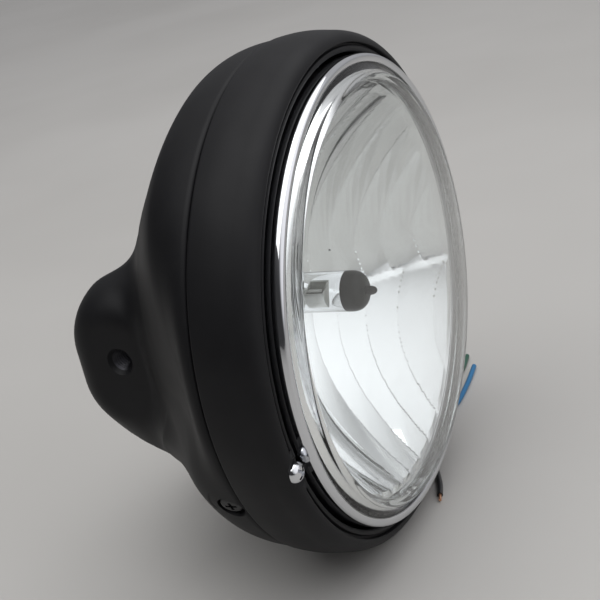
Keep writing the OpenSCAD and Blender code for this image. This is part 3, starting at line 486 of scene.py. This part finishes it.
dimple = [(0, HEAD_SEAT), (4.6, HEAD_SEAT), (8.6, -2.0), (8.6, 5), (0, 5)]
boolean(bezel, [turned_tool(dimple, adjuster_axis)], "DIFFERENCE")
adjuster_hole = [(0, -12), (2.3, -12), (2.3, 2), (0, 2)]
lug_hole = [(0, 87), (SCREW_HOLE_R, 87), (SCREW_HOLE_R, 93), (0, 93)]
holes = [turned_tool(adjuster_hole, adjuster_axis)]
holes += [turned_tool(lug_hole, axis) for axis in fix_axes]
boolean(bezel, holes, "DIFFERENCE")
shade(bezel.data)
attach(bezel, "housing")
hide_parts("bezel")
print("bezel with its boss and lugs:", len(bezel.data.polygons), "faces")

# %% [markdown]
# ## Threads of the side mounts
# Light falls on the thread inside the near hole. A thread is a ridge whose height follows the
# distance along the axis minus the pitch times the turns made, so one formula draws the helix.

# %% Cut an M8 thread in each insert
PITCH, CORE_R, THREAD_R, MOUTH_SLOPE = 1.25, 3.4, 3.98, 0.9
RIDGE_GAIN, RIDGE_CUT = 1.25, 0.12
THREAD_STEPS = 96
turns = np.linspace(0, 1, THREAD_STEPS, endpoint=False)[None, :]
along = np.linspace(INSERT_IN, INSERT_OUT, 186)[:, None]
ramp = np.abs(2 * ((along / PITCH - turns) % 1) - 1)
thread_r = CORE_R + (THREAD_R - CORE_R) * np.clip(RIDGE_GAIN * ramp - RIDGE_CUT, 0, 1)
thread_r = np.maximum(thread_r, CORE_R + MOUTH_SLOPE * (along - INSERT_OUT + 1))
sheet_r = np.vstack([thread_r, np.full((2, THREAD_STEPS), INSERT_R)])
sheet_z = np.vstack([along, [[INSERT_OUT]], [[INSERT_IN]]])
thread = np.stack([sheet_r * np.cos(2 * np.pi * turns), sheet_r * np.sin(2 * np.pi * turns),
                   sheet_z + 0 * turns], -1)
inserts = []
for side, name in ((1, "mount_insert_left"), (-1, "mount_insert_right")):
    insert = grid_mesh(name + "_thread", thread, loop_rows=True, sharp=50)
    insert.data.transform(axis_at((0, 0, 0), (side, 0, 0)))
    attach(insert, "housing")
    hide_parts(name)
    inserts.append(insert)
    print(name, "has", round((INSERT_OUT - INSERT_IN) / PITCH, 1), "turns of thread")

# %% [markdown]
# ## Chrome ring and glass
# A polished ring and a thick glass show every facet as a kink in the reflection, so both are
# turned again here with fine steps and rounded corners.

# %% Turn the chrome ring
ring_top = (RING_R - 1.8, 1.3)
ring_profile = np.vstack([
    [(RING_R - 1.2, -9), (RING_R, -9)],
    bezier((RING_R, -1.2), (RING_R, 0.6), (RING_R - 0.7, 1.3), ring_top, 14),
    bezier(ring_top, (RING_R - 2.8, 1.3), (RING_R - 3.5, 0.9), (RING_R - 3.5, 0.3), 14),
    [(RING_R - 3.5, 0.3), (RING_R - 1.9, 0.3), (RING_R - 1.2, -0.6)]])
ring = turned("ring_polished", ring_profile, 360)
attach(ring, "light_unit")
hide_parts("chrome_ring")
print("chrome ring:", len(ring.data.polygons), "faces")

# %% Turn the lens
FACE_R, STEP, CROWN, GLASS = 81.6, 4.1, 12.5, 3.0
RIM_IN, RIM_OUT, RIM_BACK = 85.9, 87.4, -2.4
crown_r = (FACE_R ** 2 + (CROWN - STEP) ** 2) / (2 * (CROWN - STEP))

def cap(r, top):
    """A piece of a sphere whose top is at the given height."""
    return np.stack([r, top - (crown_r - np.sqrt(crown_r ** 2 - r ** 2))], -1)

front = cap(np.linspace(0, FACE_R - 1.2, 40), CROWN)
inside = cap(np.linspace(FACE_R - GLASS, 0, 40), CROWN - GLASS)
lens_profile = np.vstack([
    front,
    bezier((FACE_R - 1.2, STEP + 0.22), (FACE_R - 0.2, STEP), (FACE_R + 0.5, STEP - 0.3),
           (FACE_R + 0.9, STEP - 1.0), 8),
    bezier((FACE_R + 0.9, STEP - 1.0), (FACE_R + 1.8, STEP - 2.6), (85, 0.6), (RIM_IN, 0.28), 8),
    [(RIM_IN, 0.26), (RIM_OUT, 0.25), (RIM_OUT, RIM_BACK), (FACE_R - GLASS, RIM_BACK)], inside])
lens = turned("lens_glass", lens_profile, 360, loop=False)
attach(lens, "light_unit")
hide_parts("lens")
print("lens crown radius", round(crown_r, 1), "mm")

# %% [markdown]
# ## The stepped mirror
# A clear lens needs its pattern in the mirror. Above a step there are upright columns that fan
# out a little. Below it, broad flutes lean over. Each one is a low arch on a paraboloid, which
# gathers light at its focus.

# %% Work out the mirror's height
MIRROR_R, MIRROR_DEPTH, NECK_R, MIRROR_FRONT = 79.0, 57.8, 19.0, -4.4
FOCAL = MIRROR_R ** 2 / (4 * MIRROR_DEPTH)
VERTEX = MIRROR_FRONT - MIRROR_DEPTH
BACK_EDGE, WALL_BACK = MIRROR_R + 1.3, 1.8
COLUMN, COLUMN_ARCH, COLUMN_STEP, FAN = 2 * MIRROR_R / 18, 0.75, 0.4, 0.004
FLUTE, FLUTE_ARCH, FLUTE_RISE, LEAN = 9.8, 0.5, 0.7, np.radians(31)
SPLIT_Y, LEDGE, HALF_RAMP = -18.0, 1.3, 1.1

def arch(t):
    """1 in the middle of each whole step of t and 0 at its ends."""
    part = t - np.floor(t)
    return 4 * part * (1 - part)

def mirror_relief(x, y):
    """Height above the paraboloid, in mm. The flutes stand one ledge higher than the columns."""
    column = x / (1 + FAN * np.maximum(y, 0)) / COLUMN
    upper = COLUMN_ARCH * arch(column) + COLUMN_STEP * (np.floor(column) % 2)
    flute = (x * np.cos(LEAN) - y * np.sin(LEAN)) / FLUTE + 0.5
    lower = FLUTE_ARCH * arch(flute) + FLUTE_RISE * (flute - np.floor(flute))
    below = np.clip((SPLIT_Y + HALF_RAMP - y) / (2 * HALF_RAMP), 0, 1)
    return upper + below * (lower + LEDGE - upper)

def paraboloid(r):
    """z = vertex + r^2 / (4 f)."""
    return VERTEX + r ** 2 / (4 * FOCAL)

angle = np.linspace(0, 2 * np.pi, 480, endpoint=False)[None, :]
radius = np.linspace(NECK_R + 0.02, MIRROR_R, 150)[:, None]
x, y = radius * np.cos(angle), radius * np.sin(angle)
fade = np.clip((radius - NECK_R - 1) / 3, 0, 1) * np.clip((MIRROR_R - radius) / 2, 0, 1)
front = np.stack([x, y, paraboloid(radius) + fade * mirror_relief(x, y)], -1)
FLANGE_Z = VERTEX - 3.7
COLLAR_R, EDGE_BACK, EDGE_OUT = NECK_R + 4.5, -6.0, 87.2
back_r = np.linspace(BACK_EDGE, COLLAR_R, 24)
rest = [(EDGE_OUT, MIRROR_FRONT), (EDGE_OUT, EDGE_BACK), (BACK_EDGE, EDGE_BACK)]
rest += [(r, paraboloid(r) - WALL_BACK) for r in back_r]
rest += [(COLLAR_R, FLANGE_Z), (NECK_R, FLANGE_Z)]
rest = np.array(rest)
behind = np.stack([rest[:, :1] * np.cos(angle), rest[:, :1] * np.sin(angle),
                   rest[:, 1:2] + 0 * angle], -1)
body = np.concatenate([front, behind])
mirror = grid_mesh("mirror_facets", from_lens(body[..., 0], body[..., 1], body[..., 2]),
                   loop_rows=True, sharp=14)
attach(mirror, "light_unit")
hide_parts("reflector")
print("mirror:", len(mirror.data.polygons), "faces, deepest at", round(VERTEX, 1), "mm")

# %% [markdown]
# ## The bulb
# The envelope is a tube with a rounded end and a small sealed nib. Its end is dipped in black
# so that no light goes straight forwards.

# %% Turn the bulb's envelope
BULB_R, BULB_LEN, DIP_LEN = 8.0, 60.0, 12
tip = FLANGE_Z + BULB_LEN
dome = tip - 4.0
GLASS_START = FLANGE_Z + 5
bulb_profile = np.vstack([
    [(0, GLASS_START), (BULB_R, GLASS_START)],
    bezier((BULB_R, dome - 6), (BULB_R, dome - 2), (BULB_R - 2.6, dome), (2, dome), 16),
    bezier((2, dome), (1.7, dome + 1), (2, tip), (0, tip), 12), [(0, tip)]])
bulb = turned("bulb_envelope", bulb_profile, 96, loop=False)
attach(bulb, "light_unit")
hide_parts("bulb_glass")
print("bulb tip at", round(tip, 1), "mm from the ring's plane")

# %% [markdown]
# ## Finishes
# Each finish is a Principled shader. Small noise drives the bump, and slow noise the roughness,
# because no painted or plated surface is quite even. All noise reads Object coordinates.

# %% Helpers for finishes
def finish(name, colour, roughness, metallic=0.0, **sockets):
    """A Principled shader with its main values, and its node tree ready for more."""
    material = bpy.data.materials.new(name)
    material.use_nodes = True
    shader = material.node_tree.nodes["Principled BSDF"]
    shader.inputs["Base Color"].default_value = (*colour, 1)
    shader.inputs["Roughness"].default_value = roughness
    shader.inputs["Metallic"].default_value = metallic
    for socket, value in sockets.items():
        shader.inputs[socket.replace("_", " ")].default_value = value
    return material

def noise_of(material, scale, detail):
    """Noise on Object coordinates, at so many waves a metre."""
    tree = material.node_tree
    place = tree.nodes.new("ShaderNodeTexCoord")
    noise = tree.nodes.new("ShaderNodeTexNoise")
    noise.inputs["Scale"].default_value = scale
    noise.inputs["Detail"].default_value = detail
    tree.links.new(place.outputs["Object"], noise.inputs["Vector"])
    return noise

def add_bump(material, scale, depth, detail):
    """Raises the surface by noise, by at most so many metres."""
    tree = material.node_tree
    noise = noise_of(material, scale, detail)
    bump = tree.nodes.new("ShaderNodeBump")
    bump.inputs["Distance"].default_value = depth
    tree.links.new(noise.outputs["Fac"], bump.inputs["Height"])
    tree.links.new(bump.outputs["Normal"], tree.nodes["Principled BSDF"].inputs["Normal"])

def vary(material, socket, low, high, scale):
    """Lets slow noise move one socket of the shader between two values."""
    tree = material.node_tree
    noise = noise_of(material, scale, 2.0)
    spread = tree.nodes.new("ShaderNodeMapRange")
    spread.inputs["From Min"].default_value = 0.3
    spread.inputs["From Max"].default_value = 0.7
    spread.inputs["To Min"].default_value = low
    spread.inputs["To Max"].default_value = high
    tree.links.new(noise.outputs["Fac"], spread.inputs["Value"])
    tree.links.new(spread.outputs["Result"], tree.nodes["Principled BSDF"].inputs[socket])

def tint(material, dark, light, scale):
    """Lets noise move the colour between two shades."""
    tree = material.node_tree
    noise = noise_of(material, scale, 3.0)
    ramp = tree.nodes.new("ShaderNodeValToRGB")
    ramp.color_ramp.elements[0].position, ramp.color_ramp.elements[1].position = 0.35, 0.65
    ramp.color_ramp.elements[0].color = (*dark, 1)
    ramp.color_ramp.elements[1].color = (*light, 1)
    tree.links.new(noise.outputs["Fac"], ramp.inputs["Fac"])
    tree.links.new(ramp.outputs["Color"], tree.nodes["Principled BSDF"].inputs["Base Color"])

def put(material, *pieces):
    """Gives pieces one material, in every slot of their meshes."""
    for piece in pieces:
        piece.data.materials.clear()
        piece.data.materials.append(material)
    print(material.name, "on", ", ".join(piece.name for piece in pieces))

# %% [markdown]
# ## Black paint
# The bowl and the bezel have a satin black powder coat with a very fine orange peel. A smooth
# black would look like plastic, so fine noise raises the surface a little, which shows at the edge
# of a highlight. A low index of refraction keeps the sheen as weak as on the real paint.

# %% Black powder coat for the shell and the bezel
black = finish("black_powder_coat", (0.006, 0.006, 0.007), 0.52, Specular_IOR_Level=0.5, IOR=1.3)
tint(black, (0.005, 0.005, 0.006), (0.007, 0.007, 0.008), 60)
vary(black, "Roughness", 0.48, 0.56, 35)
add_bump(black, 2600, 0.00003, 2)
put(black, nodes["pivot_brackets"], shell, bezel)

# %% [markdown]
# ## Plated metal
# The front ring and the adjuster are chromed. The small parts inside are zinc plated, and the
# screws in the side are black. Each is a tinted mirror. Slow noise in the roughness breaks the
# reflection a little, because one even value would look like liquid.

# %% Chrome, zinc and screws
chrome = finish("bright_chrome", (0.66, 0.67, 0.69), 0.06, 1.0)
vary(chrome, "Roughness", 0.04, 0.10, 80)
put(chrome, ring, nodes["adjuster_screw"])
zinc = finish("zinc_plate", (0.62, 0.62, 0.60), 0.3, 1.0)
tint(zinc, (0.55, 0.55, 0.52), (0.68, 0.68, 0.66), 240)
vary(zinc, "Roughness", 0.24, 0.4, 150)
for name in ("bezel_nuts", "pivot_pins", "adjuster_washer", "ring_screws", "bulb_base",
             "bulb_clip", "bulb_filaments", "seat_ring"):
    put(zinc, nodes[name])
insert_steel = finish("insert_steel", (0.045, 0.045, 0.05), 0.4, 1.0)
vary(insert_steel, "Roughness", 0.36, 0.5, 400)
put(insert_steel, *inserts)
black_screw = finish("blackened_steel", (0.006, 0.006, 0.007), 0.45)
vary(black_screw, "Roughness", 0.4, 0.5, 300)
put(black_screw, nodes["bezel_screws"])
brass = finish("tinned_brass", (0.72, 0.62, 0.38), 0.3, 1.0)
vary(brass, "Roughness", 0.25, 0.38, 300)
put(brass, nodes["bulb_terminals"])

# %% [markdown]
# ## Glass and mirror
# The lens is clear glass with a real thickness, which bends the light at both faces. The black dip
# of the bulb could be a second piece. Here one material turns from glass to paint at a plane near
# the tip, so the shape stays whole.

# %% Glass, mirror coat and bulb
clear = finish("clear_glass", (0.965, 0.99, 0.98), 0.0, IOR=1.5, Transmission_Weight=1.0)
put(clear, lens)
coat = finish("mirror_coat", (0.90, 0.90, 0.91), 0.05, 1.0)
vary(coat, "Roughness", 0.03, 0.08, 60)
put(coat, mirror)
dipped = finish("bulb_dip", (0.93, 0.94, 0.95), 0.03, IOR=1.45, Transmission_Weight=1.0)
tree = dipped.node_tree
place = tree.nodes.new("ShaderNodeTexCoord")
split = tree.nodes.new("ShaderNodeSeparateXYZ")
step = tree.nodes.new("ShaderNodeMath")
step.operation = "LESS_THAN"
step.inputs[1].default_value = (-MOUNT_BACK - (tip - DIP_LEN)) * MM
tree.links.new(place.outputs["Object"], split.inputs["Vector"])
tree.links.new(split.outputs["Y"], step.inputs[0])
paint = tree.nodes.new("ShaderNodeBsdfPrincipled")
paint.inputs["Base Color"].default_value = (0.002, 0.002, 0.002, 1)
paint.inputs["Roughness"].default_value = 0.4
paint.inputs["Specular IOR Level"].default_value = 0.2
mix = tree.nodes.new("ShaderNodeMixShader")
tree.links.new(step.outputs[0], mix.inputs["Fac"])
tree.links.new(tree.nodes["Principled BSDF"].outputs["BSDF"], mix.inputs[1])
tree.links.new(paint.outputs["BSDF"], mix.inputs[2])
tree.links.new(mix.outputs[0], tree.nodes["Material Output"].inputs["Surface"])
put(dipped, bulb)

# %% [markdown]
# ## Rubber, plastic and wire
# These are the dull parts, so a rough surface with a soft bump is enough. The three leads have
# one kind of cover in three colours, and the strand that comes out of the black one is copper.

# %% Rubber, plastic and leads
rubber = finish("black_rubber", (0.02, 0.02, 0.02), 0.75)
add_bump(rubber, 1800, 0.00005, 3)
for name in ("seam_seal", "rubber_boot", "cable_grommet"):
    put(rubber, nodes[name])
seal = finish("grey_seal", (0.5, 0.5, 0.51), 0.5)
add_bump(seal, 1500, 0.00003, 3)
put(seal, nodes["lens_seal"])
white = finish("white_nylon", (0.72, 0.70, 0.64), 0.45)
tint(white, (0.68, 0.66, 0.60), (0.75, 0.73, 0.68), 120)
add_bump(white, 1200, 0.00003, 3)
put(white, nodes["bulb_connector"], nodes["adjuster_nut"])
copper = finish("bare_copper", (0.72, 0.38, 0.22), 0.35, 1.0)
tint(copper, (0.62, 0.30, 0.16), (0.80, 0.46, 0.30), 900)
put(copper, nodes["bare_end"])
lead_colours = {"lead_blue": (0.006, 0.13, 0.30), "lead_green": (0.008, 0.075, 0.045),
                "lead_black": (0.012, 0.012, 0.013)}
for name, colour in lead_colours.items():
    cover = finish(name + "_pvc", colour, 0.35)
    vary(cover, "Roughness", 0.3, 0.42, 200)
    put(cover, leads[name])
    if name == "lead_blue":
        put(cover, nodes["inner_leads"])

# %% [markdown]
# ## Table and light
# The lamp stands on a plain pale table under soft light. Polished metal shows what is round
# it, so the world is a calm gradient, bright above and ahead of the lens and dim elsewhere. Two
# large soft lamps draw the highlights.

# %% Floor, world and lamps
mesh = bpy.data.meshes.new("table")
half, level = 6.0, TABLE_Z * MM
mesh.from_pydata([(-half, -half, level), (half, -half, level), (half, half, level),
                  (-half, half, level)], [], [(0, 1, 2, 3)])
table = bpy.data.objects.new("table", mesh)
bpy.context.scene.collection.objects.link(table)
pale = finish("pale_table", (0.44, 0.43, 0.41), 0.6)
tint(pale, (0.425, 0.415, 0.395), (0.46, 0.45, 0.43), 3)
put(pale, table)

world = bpy.data.worlds.new("studio")
bpy.context.scene.world = world
world.use_nodes = True
tree = world.node_tree
sky = tree.nodes["Background"]
place = tree.nodes.new("ShaderNodeTexCoord")
# The world's strength where no glow reaches.
DIM = 0.05
# Each glow has a direction, the cosines where it starts and is full, and its strength.
glows = [((0.5, -0.30, 0.80), -0.2, 1.0, 0.46), ((-0.1, -0.74, 0.66), 0.50, 0.88, 0.85)]
total = None
for direction, start, end, amount in glows:
    toward = tree.nodes.new("ShaderNodeVectorMath")
    toward.operation = "DOT_PRODUCT"
    toward.inputs[1].default_value = Vector(direction).normalized()
    spread = tree.nodes.new("ShaderNodeMapRange")
    spread.interpolation_type = "SMOOTHSTEP"
    spread.inputs["From Min"].default_value, spread.inputs["From Max"].default_value = start, end
    spread.inputs["To Min"].default_value, spread.inputs["To Max"].default_value = 0.0, amount
    tree.links.new(place.outputs["Generated"], toward.inputs[0])
    tree.links.new(toward.outputs["Value"], spread.inputs["Value"])
    both = tree.nodes.new("ShaderNodeMath")
    both.inputs[1].default_value = DIM
    tree.links.new(spread.outputs["Result"], both.inputs[0])
    if total:
        tree.links.new(total.outputs[0], both.inputs[1])
    total = both
tree.links.new(total.outputs[0], sky.inputs["Strength"])
sky.inputs["Color"].default_value = (0.97, 0.97, 1.0, 1)

AIM = Vector((0, -0.05, 0))

def soft_lamp(name, place, size, power):
    """A square area lamp that looks at the middle of the headlight."""
    data = bpy.data.lights.new(name, "AREA")
    data.shape, data.size, data.energy = "SQUARE", size, power
    lamp = bpy.data.objects.new(name, data)
    bpy.context.scene.collection.objects.link(lamp)
    lamp.matrix_world = axis_at(place, Vector(place) - AIM)

soft_lamp("key", (0.5, -0.2, 1.6), 1.5, 8)
soft_lamp("top", (-0.5, 0.2, 1.2), 1.2, 8)
bpy.context.scene.view_settings.view_transform = "Standard"
print("table at", TABLE_Z, "mm, lit by", len(bpy.data.lights), "lamps and", len(glows), "glows")

bpy.context.view_layer.update()
